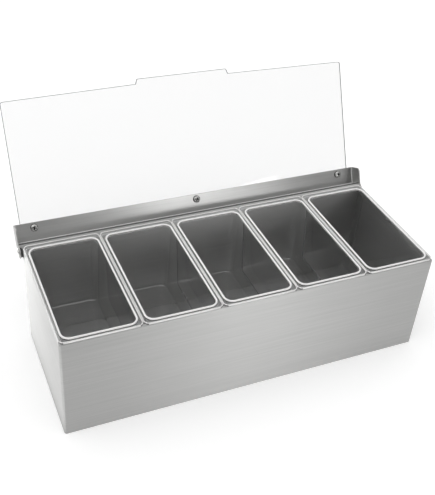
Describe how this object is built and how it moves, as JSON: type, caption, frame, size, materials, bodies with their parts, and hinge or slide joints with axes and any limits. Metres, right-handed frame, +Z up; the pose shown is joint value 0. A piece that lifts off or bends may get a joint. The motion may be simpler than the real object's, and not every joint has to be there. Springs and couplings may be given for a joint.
{
  "type": "condiment caddy",
  "caption": "Long brushed steel box with lift-out clear trays hung in it by their rims, and a clear flip lid screwed to a steel hinge bar behind the rear wall.",
  "frame": {"origin": "centre of the housing's underside, on the surface it stands on", "axes": "+X to the right along the length, +Y to the rear where the hinge is, +Z up; the lid is drawn open"},
  "size_m": [0.4106, 0.235, 0.2485],
  "materials": {
    "housing_steel": "brushed stainless sheet, grain along the length",
    "bar_steel": "brushed stainless strip, grain along the length",
    "tray_plastic": "clear moulded plastic",
    "lid_plastic": "clear polished plastic sheet",
    "screw_steel": "plain bright steel",
    "rivet_steel": "plain bright steel",
    "washer_plastic": "black moulded plastic"
  },
  "bodies": {
    "housing": {"front_wrap": "housing_steel", "rear_panel": "housing_steel", "base_panel": "housing_steel", "pivot_rivet_left": "rivet_steel", "pivot_rivet_right": "rivet_steel", "hinge_washer_left": "washer_plastic", "hinge_washer_right": "washer_plastic"},
    "lid": {"hinge_bar": "bar_steel", "lid_panel": "lid_plastic", "lid_screw_left": "screw_steel", "lid_screw_middle": "screw_steel", "lid_screw_right": "screw_steel", "lid_washer_left": "screw_steel", "lid_washer_middle": "screw_steel", "lid_washer_right": "screw_steel", "lid_nut_left": "screw_steel", "lid_nut_middle": "screw_steel", "lid_nut_right": "screw_steel"},
    "first_tray": {"tray_1": "tray_plastic"},
    "second_tray": {"tray_2": "tray_plastic"},
    "third_tray": {"tray_3": "tray_plastic"},
    "fourth_tray": {"tray_4": "tray_plastic"},
    "fifth_tray": {"tray_5": "tray_plastic"}
  },
  "joints": [
    {"name": "lid_hinge", "type": "hinge", "parent": "housing", "child": "lid", "pos_m": [0, 0.0801, 0.1109], "axis": [-1, 0, 0], "range_deg": [-116.25, 0]},
    {"name": "tray_1_lift", "type": "slide", "parent": "housing", "child": "first_tray", "axis": [0, 0, 1], "range_m": [0, 0.12]},
    {"name": "tray_2_lift", "type": "slide", "parent": "housing", "child": "second_tray", "axis": [0, 0, 1], "range_m": [0, 0.12]},
    {"name": "tray_3_lift", "type": "slide", "parent": "housing", "child": "third_tray", "axis": [0, 0, 1], "range_m": [0, 0.12]},
    {"name": "tray_4_lift", "type": "slide", "parent": "housing", "child": "fourth_tray", "axis": [0, 0, 1], "range_m": [0, 0.12]},
    {"name": "tray_5_lift", "type": "slide", "parent": "housing", "child": "fifth_tray", "axis": [0, 0, 1], "range_m": [0, 0.12]}
  ]
}
